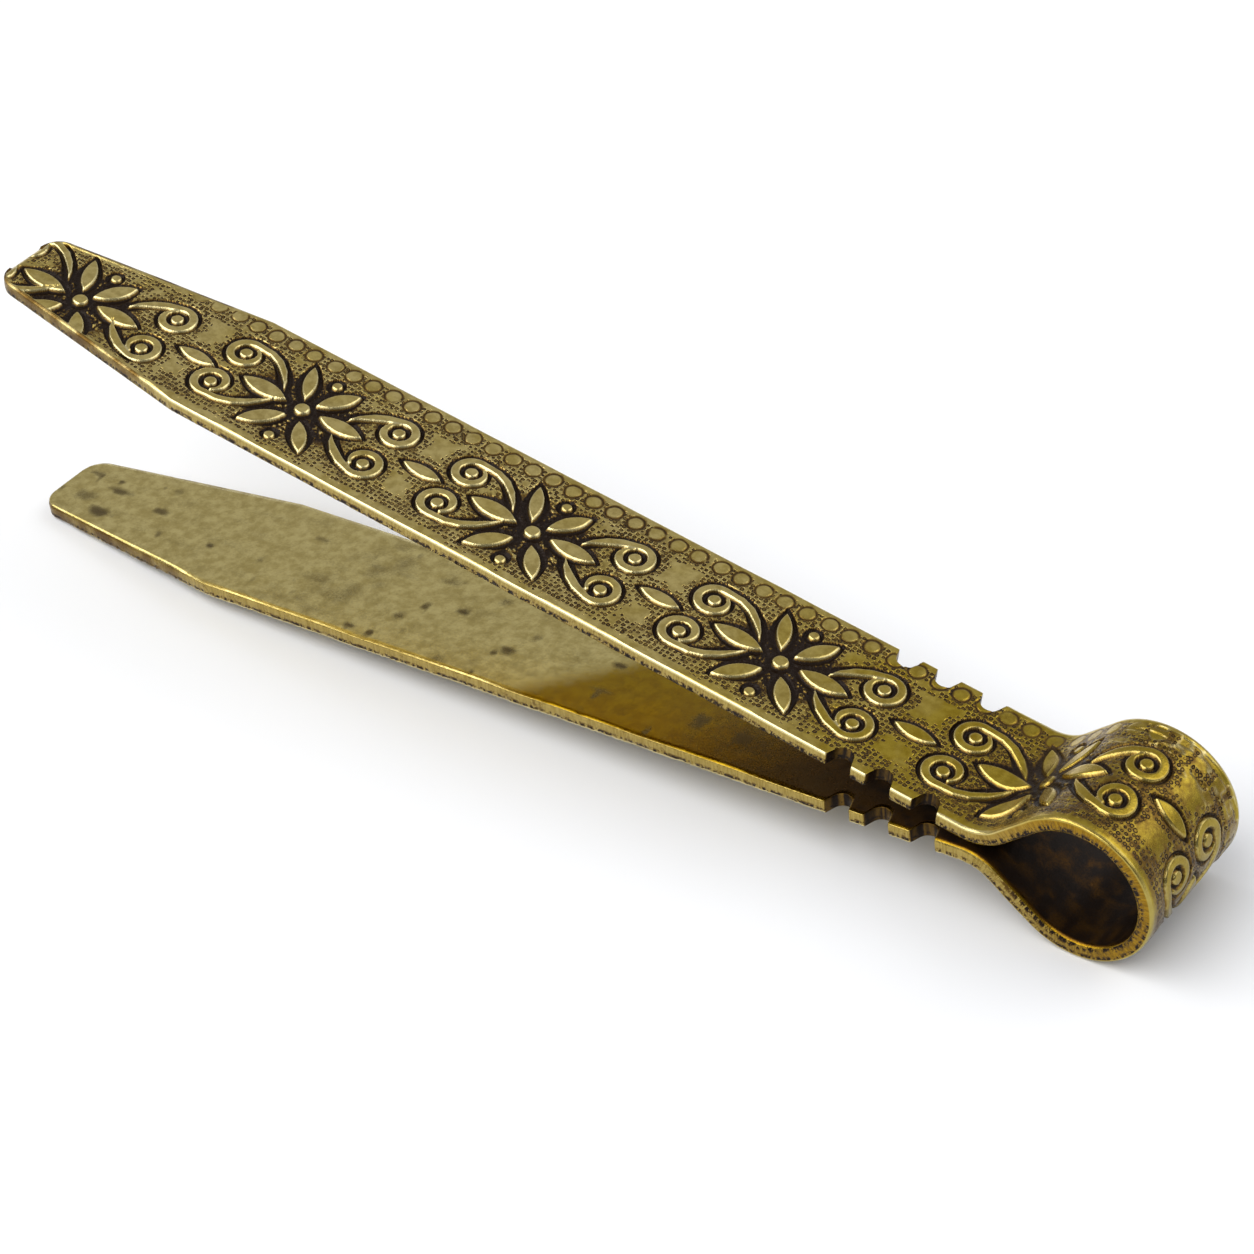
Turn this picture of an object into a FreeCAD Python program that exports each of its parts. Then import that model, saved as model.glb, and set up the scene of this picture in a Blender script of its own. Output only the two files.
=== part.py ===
import FreeCAD, Part
import math
import os

# Spring tongs bent from one flat brass strip. From back to front the strip makes
# a round spring bow, a narrow neck where the two halves nearly touch, a stretch
# with file-cut notches in both edges, and two straight arms that spread apart
# and end in tapered jaws. The tongs have no pin: the strip itself bends, at the
# bow and at the notches, so it is drawn as five stiff pieces that meet there.
#
# Row frame, in mm: +X towards the bow, Y across the strip, +Z up, with the origin
# at the bottom centre of the box. The tongs lie as on a table, on the underside
# of the bow and the outer end edge of the lower jaw.

# The strip
strip_width = 16.0
strip_thickness = 1.5

# The spring bow
bow_inner_radius = 6.2
bow_rise = 0.45          # the bow's centre sits this far above the arms' mid-plane
bow_flex_angle = 75.0    # degrees from the back of the bow to each bending place
bow_flex_radius = 5.1    # from the bow's centre to the point that a half turns about

# The neck
neck_gap = 1.2           # between the inner faces, where it is narrowest
neck_bend_radius = 5.0   # of the strip's centre line
flank_length = 4.8       # the straight run from the bow to the neck's bend, were there no rise

# The arms, measured along the centre line from the end of the neck's bend
arm_spread = 6.25        # degrees between each arm and the mid-plane
upper_arm_length = 117.2
lower_arm_length = 115.5

# The tapered jaws
jaw_taper_length = 26.0
jaw_end_width = 8.8      # where the tapered sides would meet the end, uncut
jaw_corner_radius = 2.4

# The notches, each a rounded U filed straight through the strip
notch_first = 3.8        # from the end of the neck's bend to the first one
notch_pitches = (4.9, 4.2)
notch_stagger = 2.2      # the far edge's notches sit this much nearer the jaws
notch_width = 2.7
notch_depth = 1.8
notch_root_radius = 1.05
notch_overrun = 1.0      # how far a notch cutter runs past the strip

# Clearances to the mid-plane when the tongs are squeezed shut
neck_shut_clearance = 0.05
jaw_shut_clearance = 0.02

bow_radius = bow_inner_radius + strip_thickness / 2
bow_outer_radius = bow_inner_radius + strip_thickness
half_thickness = strip_thickness / 2
half_width = strip_width / 2
notch_stations = [notch_first]
for pitch in notch_pitches:
    notch_stations.append(notch_stations[-1] + pitch)
arm_flex_station = notch_stations[-1] + notch_stagger / 2
neck_bend_height = neck_gap / 2 + half_thickness + neck_bend_radius
neck_distance = math.sqrt((bow_radius + neck_bend_radius) ** 2 + flank_length ** 2 - neck_bend_height ** 2)


# ---- plane geometry -------------------------------------------------------

def polar(centre, radius, angle):
    """The point at that radius and angle, in radians, from centre."""
    return (centre[0] + radius * math.cos(angle), centre[1] + radius * math.sin(angle))


def turned(point, pivot, angle):
    """point turned about pivot, anticlockwise, by angle in radians."""
    dx, dw = point[0] - pivot[0], point[1] - pivot[1]
    c, s = math.cos(angle), math.sin(angle)
    return (pivot[0] + c * dx - s * dw, pivot[1] + s * dx + c * dw)


def angle_that_lowers(point, pivot, height):
    """The anticlockwise angle about pivot that brings a point left of it down to height."""
    dx, dw = point[0] - pivot[0], point[1] - pivot[1]
    reach = math.hypot(dx, dw)
    return math.atan2(dw, -dx) - math.asin((height - pivot[1]) / reach)


def rounded(before, corner, after, radius):
    """The arc that rounds a corner, as its start, middle and end points."""
    def unit(point):
        length = math.dist(point, corner)
        return ((point[0] - corner[0]) / length, (point[1] - corner[1]) / length)
    a, b = unit(before), unit(after)
    half_angle = math.acos(a[0] * b[0] + a[1] * b[1]) / 2
    cut_back = radius / math.tan(half_angle)
    middle = (a[0] + b[0], a[1] + b[1])
    scale = (radius / math.sin(half_angle) - radius) / math.hypot(*middle)
    return [
        (corner[0] + a[0] * cut_back, corner[1] + a[1] * cut_back),
        (corner[0] + middle[0] * scale, corner[1] + middle[1] * scale),
        (corner[0] + b[0] * cut_back, corner[1] + b[1] * cut_back),
    ]


# ---- one half of the strip ------------------------------------------------

class Half:
    """One half of the strip. (x, w): x along the tongs, w outwards from the mid-plane."""

    def __init__(self, side, arm_length):
        self.side = side                       # 1 is the upper half and -1 the lower
        self.arm_length = arm_length
        self.bow = (0.0, side * bow_rise)
        self.neck = (-neck_distance, neck_bend_height)
        # The flank is the straight run that is tangent to the bow and to the neck's bend.
        apart = math.dist(self.bow, self.neck)
        lie = math.atan2(self.neck[1] - self.bow[1], self.neck[0] - self.bow[0])
        self.flank_angle = lie - math.acos((bow_radius + neck_bend_radius) / apart)
        # The arm leaves the neck's bend at the spread angle.
        spread = math.radians(arm_spread)
        self.along = (-math.cos(spread), math.sin(spread))
        self.outwards = (math.sin(spread), math.cos(spread))
        self.neck_end_angle = math.pi / 2 - spread
        self.arm_start = polar(self.neck, -neck_bend_radius, self.neck_end_angle)

    def at(self, point, y=0.0):
        """A point (x, w), at y across the strip, in space."""
        return FreeCAD.Vector(point[0], y, self.side * point[1])

    def on_arm(self, station, height):
        """The point (x, w) at that station along the arm, that far outwards of its centre line."""
        return tuple(self.arm_start[i] + station * self.along[i] + height * self.outwards[i] for i in (0, 1))

    def bow_flex(self):
        return polar(self.bow, bow_flex_radius, math.radians(bow_flex_angle))

    def arm_flex(self):
        return self.on_arm(arm_flex_station, -half_thickness)

    def bow_closing(self):
        """How far the bow lets this half turn before its neck meets the mid-plane, in radians."""
        shut = neck_shut_clearance + half_thickness + neck_bend_radius
        return angle_that_lowers(self.neck, self.bow_flex(), shut)

    def arm_closing(self):
        """How far the arm turns at the notches, after the bow, to bring the jaw to the mid-plane."""
        closing = self.bow_closing()
        flex = turned(self.arm_flex(), self.bow_flex(), closing)
        jaw = turned(self.on_arm(self.arm_length, -half_thickness), self.bow_flex(), closing)
        return angle_that_lowers(jaw, flex, jaw_shut_clearance)


upper = Half(1, upper_arm_length)
lower = Half(-1, lower_arm_length)


# ---- solids ---------------------------------------------------------------

def line(half, start, end):
    """An edge in the plane of the strip's near edge, between two points (x, w)."""
    return Part.LineSegment(half.at(start, -half_width), half.at(end, -half_width)).toShape()


def arc(half, centre, radius, start, end):
    """An edge in that plane, round centre, between two angles."""
    middle = (start + end) / 2
    points = [half.at(polar(centre, radius, angle), -half_width) for angle in (start, middle, end)]
    return Part.Arc(*points).toShape()


def across_strip(edges):
    """The solid that an outline at the near edge sweeps to the far edge."""
    face = Part.Face(Part.Wire(Part.sortEdges(edges)[0]))
    return face.extrude(FreeCAD.Vector(0, strip_width, 0))


def spring_bow():
    """The back of the bow, between its two bending places."""
    flex = math.radians(bow_flex_angle)
    outer = arc(upper, upper.bow, bow_outer_radius, -flex, flex)
    inner = arc(upper, upper.bow, bow_inner_radius, -flex, flex)
    ends = [
        line(upper, polar(upper.bow, bow_inner_radius, angle), polar(upper.bow, bow_outer_radius, angle))
        for angle in (-flex, flex)
    ]
    return across_strip([outer, inner] + ends)


def side_of_neck(half, offset):
    """The edges of one face of the neck piece, offset outwards from the centre line."""
    flex = math.radians(bow_flex_angle)
    bow_edge = arc(half, half.bow, bow_radius + offset, flex, half.flank_angle)
    flank_edge = line(
        half,
        polar(half.bow, bow_radius + offset, half.flank_angle),
        polar(half.neck, -(neck_bend_radius - offset), half.flank_angle),
    )
    bend_edge = arc(half, half.neck, -(neck_bend_radius - offset), half.flank_angle, half.neck_end_angle)
    notched_edge = line(half, half.on_arm(0, offset), half.on_arm(arm_flex_station, offset))
    return [bow_edge, flank_edge, bend_edge, notched_edge]


def neck_piece(half):
    """From the bow's bending place round the neck to the middle of the last notches."""
    flex = math.radians(bow_flex_angle)
    bow_end = line(half, polar(half.bow, bow_inner_radius, flex), polar(half.bow, bow_outer_radius, flex))
    arm_end = line(
        half,
        half.on_arm(arm_flex_station, -half_thickness),
        half.on_arm(arm_flex_station, half_thickness),
    )
    edges = side_of_neck(half, half_thickness) + side_of_neck(half, -half_thickness)
    return across_strip(edges + [bow_end, arm_end])


def flat_edge(half, height, points):
    """An edge in the plane of the arm: a line through two (station, y) points or an arc through three."""
    spots = [half.at(half.on_arm(station, height), y) for station, y in points]
    if len(spots) == 2:
        return Part.LineSegment(*spots).toShape()
    return Part.Arc(*spots).toShape()


def through_strip(half, base, thickness, runs):
    """The solid that a closed outline in the plane of the arm sweeps outwards from base."""
    wire = Part.Wire(Part.sortEdges([flat_edge(half, base, run) for run in runs])[0])
    sweep = half.at((half.outwards[0] * thickness, half.outwards[1] * thickness))
    return Part.Face(wire).extrude(sweep)


def notch_cutter(half, station, edge_sign):
    """The U that one notch takes out of the strip's edge, near (-1) or far (1)."""
    mouth = notch_width / 2
    root_depth = notch_depth - notch_root_radius
    reach = math.hypot(mouth, root_depth)
    side_angle = math.atan2(root_depth, mouth) - math.acos(notch_root_radius / reach)

    def spot(along, inwards):
        return (station + along, edge_sign * (half_width - inwards))

    side = (notch_root_radius * math.cos(side_angle), root_depth - notch_root_radius * math.sin(side_angle))
    runs = [
        [spot(-mouth, -notch_overrun), spot(-mouth, 0)],
        [spot(-mouth, 0), spot(-side[0], side[1])],
        [spot(-side[0], side[1]), spot(0, notch_depth), spot(*side)],
        [spot(*side), spot(mouth, 0)],
        [spot(mouth, 0), spot(mouth, -notch_overrun)],
        [spot(mouth, -notch_overrun), spot(-mouth, -notch_overrun)],
    ]
    base = -half_thickness - notch_overrun
    return through_strip(half, base, strip_thickness + 2 * notch_overrun, runs)


def notch_cutters(half):
    near = [notch_cutter(half, station, -1) for station in notch_stations]
    far = [notch_cutter(half, station + notch_stagger, 1) for station in notch_stations]
    return near + far


def arm_piece(half):
    """From the middle of the last notches to the end of the jaw."""
    taper_start = half.arm_length - jaw_taper_length
    jaw_end = jaw_end_width / 2
    runs = []
    corners = {}
    for sign in (-1, 1):
        arc_points = rounded(
            (taper_start, sign * half_width),
            (half.arm_length, sign * jaw_end),
            (half.arm_length, 0.0),
            jaw_corner_radius,
        )
        corners[sign] = arc_points[-1]
        runs += [
            [(arm_flex_station, sign * half_width), (taper_start, sign * half_width)],
            [(taper_start, sign * half_width), arc_points[0]],
            arc_points,
        ]
    runs.append([corners[-1], corners[1]])
    runs.append([(arm_flex_station, -half_width), (arm_flex_station, half_width)])
    return through_strip(half, -half_thickness, strip_thickness, runs)


# ---- the row frame --------------------------------------------------------

def resting_lean():
    """How far the tongs turn about +Y to lie on the bow's underside and the lower jaw's end edge."""
    jaw_edge = lower.at(lower.on_arm(lower.arm_length, half_thickness))
    back, up = -jaw_edge.x, bow_rise - jaw_edge.z
    return math.atan2(up, back) - math.asin(bow_outer_radius / math.hypot(back, up))


lean = resting_lean()


def leaned(point):
    c, s = math.cos(lean), math.sin(lean)
    return FreeCAD.Vector(c * point.x + s * point.z, point.y, c * point.z - s * point.x)


bow_centre = leaned(FreeCAD.Vector(0, 0, bow_rise))
jaw_corners = [
    leaned(half.at(half.on_arm(half.arm_length, height)))
    for half in (upper, lower)
    for height in (-half_thickness, half_thickness)
]
origin = FreeCAD.Vector(
    (bow_centre.x + bow_outer_radius + min(corner.x for corner in jaw_corners)) / 2,
    0,
    bow_centre.z - bow_outer_radius,
)


def in_row(point):
    """A point of the drawing, in the row frame."""
    return leaned(point).sub(origin)


def placed(shape):
    shape.rotate(FreeCAD.Vector(0, 0, 0), FreeCAD.Vector(0, 1, 0), math.degrees(lean))
    shape.translate(origin.negative())
    return shape


# ---- the pieces -----------------------------------------------------------

nodes = {"spring_bow": spring_bow()}
for name, half in (("upper", upper), ("lower", lower)):
    cutters = notch_cutters(half)
    nodes[name + "_neck"] = neck_piece(half).cut(cutters)
    nodes[name + "_arm"] = arm_piece(half).cut(cutters)

os.makedirs("parts", exist_ok=True)
for name, shape in nodes.items():
    solid = placed(shape.Solids[0])
    solid.exportStep("parts/" + name + ".step")
    print(name, "volume", round(solid.Volume, 2), "valid", solid.isValid(), "solids", len(shape.Solids))

print("lean", round(math.degrees(lean), 4), "degrees")
print("bow centre", in_row(FreeCAD.Vector(0, 0, bow_rise)))
for name, half in (("upper", upper), ("lower", lower)):
    print(name, "bow flex at", in_row(half.at(half.bow_flex())))
    print(name, "arm flex at", in_row(half.at(half.arm_flex())))
    print(name, "bow closing", round(math.degrees(half.bow_closing()), 4), "degrees")
    print(name, "arm closing", round(math.degrees(half.arm_closing()), 4), "degrees")
    print(name, "arm face at", in_row(half.at(half.on_arm(half.arm_length / 2, half_thickness))))
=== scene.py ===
import math

import bpy
import numpy as np
from mathutils import Matrix, Vector


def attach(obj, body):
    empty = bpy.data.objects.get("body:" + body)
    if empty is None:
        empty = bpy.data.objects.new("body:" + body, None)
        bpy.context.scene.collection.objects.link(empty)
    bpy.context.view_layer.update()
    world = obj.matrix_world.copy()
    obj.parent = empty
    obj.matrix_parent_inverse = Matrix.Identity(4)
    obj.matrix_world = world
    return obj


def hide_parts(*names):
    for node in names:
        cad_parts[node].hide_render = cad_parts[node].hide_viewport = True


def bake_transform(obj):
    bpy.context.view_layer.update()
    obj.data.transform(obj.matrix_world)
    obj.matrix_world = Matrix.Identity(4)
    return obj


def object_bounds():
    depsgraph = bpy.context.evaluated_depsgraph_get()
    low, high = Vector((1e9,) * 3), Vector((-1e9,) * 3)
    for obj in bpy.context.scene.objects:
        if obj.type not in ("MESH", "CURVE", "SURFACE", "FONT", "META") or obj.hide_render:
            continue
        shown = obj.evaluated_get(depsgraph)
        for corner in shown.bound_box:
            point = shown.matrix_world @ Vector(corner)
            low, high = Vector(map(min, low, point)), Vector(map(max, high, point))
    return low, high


# Antique brass spring tongs, bent from one ornamented strip. The CAD pieces are
# plain; here the same strip is made again in six joined lengths, with the
# stamped flowers, scrolls and stipple sunk into its outer face. Lengths are in
# mm until a mesh is made. A place on the strip is (s, v): s runs along the outer
# face from the back of the bow, upwards positive, and v runs across it, with the
# far edge positive. Heights are counted outwards from the CAD's outer face.

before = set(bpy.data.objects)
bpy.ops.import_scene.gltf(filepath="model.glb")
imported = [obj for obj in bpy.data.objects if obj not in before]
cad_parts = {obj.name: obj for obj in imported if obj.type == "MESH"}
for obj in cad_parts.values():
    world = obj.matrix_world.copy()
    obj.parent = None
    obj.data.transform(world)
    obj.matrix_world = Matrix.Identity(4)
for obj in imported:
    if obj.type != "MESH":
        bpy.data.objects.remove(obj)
cad_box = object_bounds()
MM = 0.001
rng = np.random.RandomState(17)

# The strip, as in the CAD
HALF_WIDTH = 8.0
THICKNESS = 1.5
BOW_RADIUS = 6.95
BOW_RISE = 0.45
NECK_GAP = 1.2
NECK_RADIUS = 5.0
FLANK = 4.8
SPREAD = math.radians(6.25)
LEAN = math.radians(3.3647)
ARM_LENGTH = {1: 117.2, -1: 115.5}
TAPER_LENGTH = 26.0
JAW_HALF_WIDTH = 4.4
JAW_CORNER = 2.4
NOTCHES = (3.8, 8.7, 12.9)
NOTCH_STAGGER = 2.2
NOTCH_MOUTH = 1.35
NOTCH_DEPTH = 1.8
NOTCH_ROOT = 1.05

# The mesh
PITCH = 0.119            # between rings, and between columns on the outer face
INNER_COLUMNS = 28
SHOULDER_END = 27.0      # where the lengths of strip meet, along s
JAW_START = 83.0
NOTCH_RINGS = (0.96, 1.08, 1.18, 1.28, 1.36)    # extra rings each side of a notch's middle
END_RINGS = (0.01, 0.04, 0.08, 0.17)            # and near the jaw's end
LEAST_GAP = 0.018        # between rings
KNEE = 5.6               # outer columns nearer the middle than this keep their place
KNEE_REACH = 5.9         # unless the strip is narrower than this

# The edge's section: how far in from the edge, and how far below the outer face
CHAMFER = [(0.17, 0.004), (0.14, 0.02), (0.09, 0.06), (0.04, 0.105), (0.01, 0.15), (0.0, 0.24)]
SIDE = [(0.0, 0.34), (0.0, 0.5), (0.0, 0.7), (0.0, 0.9), (0.0, 1.08), (0.0, 1.22), (0.02, 1.34), (0.07, 1.43)]
CHAMFER_WIDTH = 0.21
CHAMFER_DEPTH = 0.24
INNER_MARGIN = 0.16      # from each edge to the inner face's first column
INNER_LEVEL = 0.012      # how far the inner face lies outside the CAD's

# Relief
TOP = -0.02              # the tops of the petals
GROUND = -0.13
MARGIN = -0.05           # the level of the strip's two margins
MOAT = -0.48             # the floor of the line round each petal
WALL = 0.1               # how far a motif's wall leans in
# Each kind of raised shape: the height of its top, the width of its bevel, and the bevel's drop
RAISED = {
    "petal": (TOP, 0.19, 0.13),
    "scroll": (TOP - 0.02, 0.14, 0.09),
    "eye": (TOP - 0.04, 0.14, 0.06),
    "bead": (TOP - 0.12, 0.14, 0.06),
}
OUTSIDE = -9.0           # the distance inside a motif where there is none near


# ---- small helpers --------------------------------------------------------

def smooth(a, b, x):
    """0 at a and beyond, 1 at b and beyond, and a smooth step between."""
    t = np.clip((x - a) / (b - a), 0, 1)
    return t * t * (3 - 2 * t)


LATTICE = rng.rand(128, 128)


def noise(x, y):
    """Smooth value noise from 0 to 1, with cells of size 1."""
    i, j = np.floor(x).astype(int), np.floor(y).astype(int)
    a, b = smooth(0, 1, x - i), smooth(0, 1, y - j)

    def corner(di, dj):
        return LATTICE[(i + di) % 128, (j + dj) % 128]

    low = corner(0, 0) * (1 - a) + corner(1, 0) * a
    high = corner(0, 1) * (1 - a) + corner(1, 1) * a
    return low * (1 - b) + high * b


# ---- the line that the strip follows --------------------------------------

class Half:
    """One half of the strip, side 1 above and -1 below. (x, w): w outwards from the mid-plane."""

    def __init__(self, side):
        self.side = side
        self.bow = np.array([0.0, side * BOW_RISE])
        height = NECK_GAP / 2 + THICKNESS / 2 + NECK_RADIUS
        reach = BOW_RADIUS + NECK_RADIUS
        self.neck = np.array([-math.sqrt(reach ** 2 + FLANK ** 2 - height ** 2), height])
        apart = np.linalg.norm(self.neck - self.bow)
        lie = math.atan2(*(self.neck - self.bow)[::-1])
        self.flank_angle = lie - math.acos(reach / apart)
        self.arm_angle = math.pi / 2 - SPREAD
        flank = math.sqrt(apart ** 2 - reach ** 2)
        bow = (BOW_RADIUS + THICKNESS / 2) * self.flank_angle
        bend = (NECK_RADIUS - THICKNESS / 2) * (self.flank_angle - self.arm_angle)
        self.marks = np.cumsum([bow, flank, bend, ARM_LENGTH[side]])
        self.arm_start, self.length = self.marks[2], self.marks[3]

    def at(self, s, h):
        """The points (x, w), n by 2, at distance s from the back of the bow and height h on the outer face."""
        outer = BOW_RADIUS + THICKNESS / 2
        bow_end, flank_end, bend_end, _ = self.marks
        bend_radius = NECK_RADIUS - THICKNESS / 2
        past_flank = np.maximum(self.flank_angle - (s - flank_end) / bend_radius, self.arm_angle)
        angle = np.where(s < bow_end, s / outer, np.where(s < flank_end, self.flank_angle, past_flank))
        normal = np.stack([np.cos(angle), np.sin(angle)], -1)
        onward = np.stack([-np.sin(angle), np.cos(angle)], -1)
        on_bow = self.bow + outer * normal + np.clip(s - bow_end, 0, None)[..., None] * onward
        on_bend = self.neck - bend_radius * normal + np.clip(s - bend_end, 0, None)[..., None] * onward
        base = np.where((s < flank_end)[..., None], on_bow, on_bend)
        return base + h[..., None] * normal

    def place(self, s, v, h):
        """Points in the row frame, in metres."""
        spot = self.at(s, h)
        x, z = spot[..., 0], self.side * spot[..., 1] - BOW_RISE
        c, t = math.cos(LEAN), math.sin(LEAN)
        outer = (BOW_RADIUS + THICKNESS / 2) * MM
        centre = (cad_box[1].x - outer, cad_box[0].z + outer)
        return np.stack([
            (c * x + t * z) * MM + centre[0],
            v * MM,
            (c * z - t * x) * MM + centre[1],
        ], -1)

    def half_width(self, s, edge):
        """How far the strip reaches from its middle at s, on its near (-1) or far (1) edge, and any notch's depth."""
        station = s - self.arm_start
        to_end = self.length - s
        slope = (HALF_WIDTH - JAW_HALF_WIDTH) / TAPER_LENGTH
        width = np.minimum(HALF_WIDTH, JAW_HALF_WIDTH + slope * to_end)
        lean = math.atan(slope)
        middle = JAW_HALF_WIDTH + JAW_CORNER * slope - JAW_CORNER / math.cos(lean)
        corner = middle + np.sqrt(np.clip(JAW_CORNER ** 2 - (JAW_CORNER - to_end) ** 2, 0, None))
        width = np.where(to_end < JAW_CORNER * (1 - math.sin(lean)), corner, width)
        cut = np.zeros_like(s)
        root = NOTCH_DEPTH - NOTCH_ROOT
        tilt = math.atan2(root, NOTCH_MOUTH) - math.acos(NOTCH_ROOT / math.hypot(NOTCH_MOUTH, root))
        wall = (NOTCH_ROOT * math.cos(tilt), root - NOTCH_ROOT * math.sin(tilt))
        for notch in NOTCHES:
            d = np.abs(station - notch - (NOTCH_STAGGER if edge > 0 else 0))
            round_part = root + np.sqrt(np.clip(NOTCH_ROOT ** 2 - d ** 2, 0, None))
            straight = wall[1] * (NOTCH_MOUTH - d) / (NOTCH_MOUTH - wall[0])
            cut = np.maximum(cut, np.where(d < wall[0], round_part, np.clip(straight, 0, None)))
        return width - cut, cut

    def rings(self, start, end):
        """Where the rings of one length of strip are, closer together at the notches and the jaw's end."""
        steps = max(int(round((end - start) / PITCH)), 1)
        places = list(np.linspace(start, end, steps + 1))
        for notch in NOTCHES:
            for shift in (0, NOTCH_STAGGER):
                middle = self.arm_start + notch + shift
                for d in NOTCH_RINGS:
                    places += [middle - d, middle + d]
        if end >= self.length - 1e-6:
            places += [self.length - d for d in END_RINGS]
        places = np.sort([p for p in places if start <= p <= end])
        kept = [places[0]]
        for p in places[1:]:
            if p - kept[-1] > LEAST_GAP:
                kept.append(p)
        kept[-1] = end
        return np.array(kept)


# ---- the ornament ---------------------------------------------------------

FLOWERS = [                # (s, v) of each flower's middle
    (134.0, -1.7), (106.2, -0.65), (78.1, -0.7), (49.8, -0.5), (21.0, -0.35),
    (-7.9, -0.3), (-36.4, -0.4), (-65.1, -0.3), (-93.5, -0.5), (-122.3, -0.35),
]
SCROLL_AXIS = -0.25
HEART_RADIUS = 0.88
# Petals: start and tip from the flower's middle, towards the upper jaw and the far edge, and half-width
PETALS = [
    ((2.0, 0.1), (7.8, 0.2), 0.92), ((-1.75, 0.15), (-7.3, 0.2), 0.9),
    ((0.75, 1.15), (3.2, 5.9), 0.72), ((-0.65, 1.1), (-3.4, 5.2), 0.86),
    ((0.75, -1.6), (4.3, -5.4), 0.86), ((-1.0, -1.4), (-4.1, -5.4), 0.78),
]
BEADS = [(-0.45, 4.95), (0.1, -5.0)]
BEAD_RADIUS = 0.62
# A scroll's stem, as (away from the flower, outwards from the axis, half-width), and where its coil is
STEMS = {
    1: [(3.1, 0.75, 0.04), (3.9, 1.9, 0.3), (4.9, 2.95, 0.46), (6.1, 3.85, 0.5), (7.5, 4.4, 0.47)],
    -1: [(4.4, 1.1, 0.04), (5.2, 2.2, 0.36), (6.3, 3.15, 0.56), (7.5, 3.9, 0.56), (8.6, 4.3, 0.5)],
}
COIL = (9.6, 2.82)
COIL_RADIUS = 1.63
COIL_START = math.radians(104)
COIL_STEPS = 26
EYE_RADIUS = 0.74
# The leaf between two flowers, from its tip to its base
LEAF = ((-12.2, -0.15), (-17.1, -0.2))
LEAF_WIDTH = 0.86
WOBBLE = 0.12              # how far a petal or scroll may be out of place
# The rings stamped along the far margin
RING_PITCH = 2.45
RING_V = 6.45
RING_RADIUS = 0.9


def lens(x, y, start, tip, width):
    """Distance inside a pointed lens, in mm, negative outside."""
    ax, ay = tip[0] - start[0], tip[1] - start[1]
    length = math.hypot(ax, ay)
    a = ((x - start[0]) * ax + (y - start[1]) * ay) / length - length / 2
    b = ((y - start[1]) * ax - (x - start[0]) * ay) / length
    radius = (length ** 2 / 4 + width ** 2) / (2 * width)
    off = radius - width
    return radius - np.sqrt(a ** 2 + (np.abs(b) + off) ** 2)


def dome(x, y, centre, radius):
    """Distance inside a circle."""
    return radius - np.hypot(x - centre[0], y - centre[1])


def band(x, y, path):
    """Distance inside a ribbon along path, a list of (x, y, half-width)."""
    best = np.full(np.broadcast(x, y).shape, OUTSIDE)
    for (x0, y0, w0), (x1, y1, w1) in zip(path, path[1:]):
        dx, dy = x1 - x0, y1 - y0
        t = np.clip(((x - x0) * dx + (y - y0) * dy) / (dx * dx + dy * dy), 0, 1)
        best = np.maximum(best, w0 + (w1 - w0) * t - np.hypot(x - x0 - t * dx, y - y0 - t * dy))
    return best


def scroll_path(side, edge, wobble):
    """A comma-shaped stem that runs into a coil, for the tip (1) or bow (-1) side of a flower, far (1) or near (-1)."""
    points = list(STEMS[side])
    turn = math.radians(328 + 12 * wobble)
    for i in range(COIL_STEPS + 1):
        share = i / COIL_STEPS
        angle = COIL_START - turn * share
        radius = COIL_RADIUS * (1 - 0.04 * share - 0.2 * share ** 6) + 0.1 * (1 - share) ** 6
        width = 0.48 + 0.08 * smooth(0.0, 0.2, share) - 0.06 * share - 0.22 * smooth(0.75, 1.0, share)
        points.append((COIL[0] + radius * math.cos(angle), COIL[1] + radius * math.sin(angle), float(width)))
    return [(side * p, edge * q, w) for p, q, w in points]


def make_motifs():
    """Every raised shape, as (lowest s, highest s, kind, its distance function of (s, v))."""
    motifs = []
    for flower_s, flower_v in FLOWERS:
        for start, tip, width in PETALS:
            shift = rng.uniform(-WOBBLE, WOBBLE, 2)
            ends = [(flower_s + p[0] + shift[0], flower_v + p[1] + shift[1]) for p in (start, tip)]
            width = width * rng.uniform(1.1, 1.22)
            low, high = sorted((ends[0][0], ends[1][0]))
            motifs.append((low, high, "petal", lambda x, y, e=ends, w=width: lens(x, y, e[0], e[1], w)))
        heart = (flower_s, flower_v)
        motifs.append((flower_s, flower_s, "petal", lambda x, y, c=heart: dome(x, y, c, HEART_RADIUS)))
        for along, across in BEADS:
            centre = (flower_s + along, flower_v + across)
            motifs.append((centre[0], centre[0], "bead", lambda x, y, c=centre: dome(x, y, c, BEAD_RADIUS)))
        for side in (1, -1):
            for edge in (1, -1):
                wobble = rng.uniform(-1, 1)
                shift = rng.uniform(-WOBBLE, WOBBLE, 2)
                skew = 0.3 * (flower_v - SCROLL_AXIS)
                path = [
                    (flower_s + p + shift[0], SCROLL_AXIS + skew + q + shift[1], w)
                    for p, q, w in scroll_path(side, edge, wobble)
                ]
                low, high = min(p[0] for p in path), max(p[0] for p in path)
                motifs.append((low, high, "scroll", lambda x, y, p=path: band(x, y, p)))
                eye = (flower_s + side * COIL[0] + shift[0], SCROLL_AXIS + skew + edge * COIL[1] + shift[1])
                motifs.append((eye[0], eye[0], "eye", lambda x, y, c=eye: dome(x, y, c, EYE_RADIUS)))
        leaf = [(flower_s + p, flower_v * 0.5 + q) for p, q in LEAF]
        motifs.append((leaf[1][0], leaf[0][0], "petal", lambda x, y, e=leaf: lens(x, y, e[0], e[1], LEAF_WIDTH)))
    return motifs


MOTIFS = make_motifs()


def near_stations(s, low, high):
    """The rows of the grid whose s is between low and high."""
    hits = np.flatnonzero((s >= low) & (s <= high))
    return slice(hits[0], hits[-1] + 1) if len(hits) else None


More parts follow.
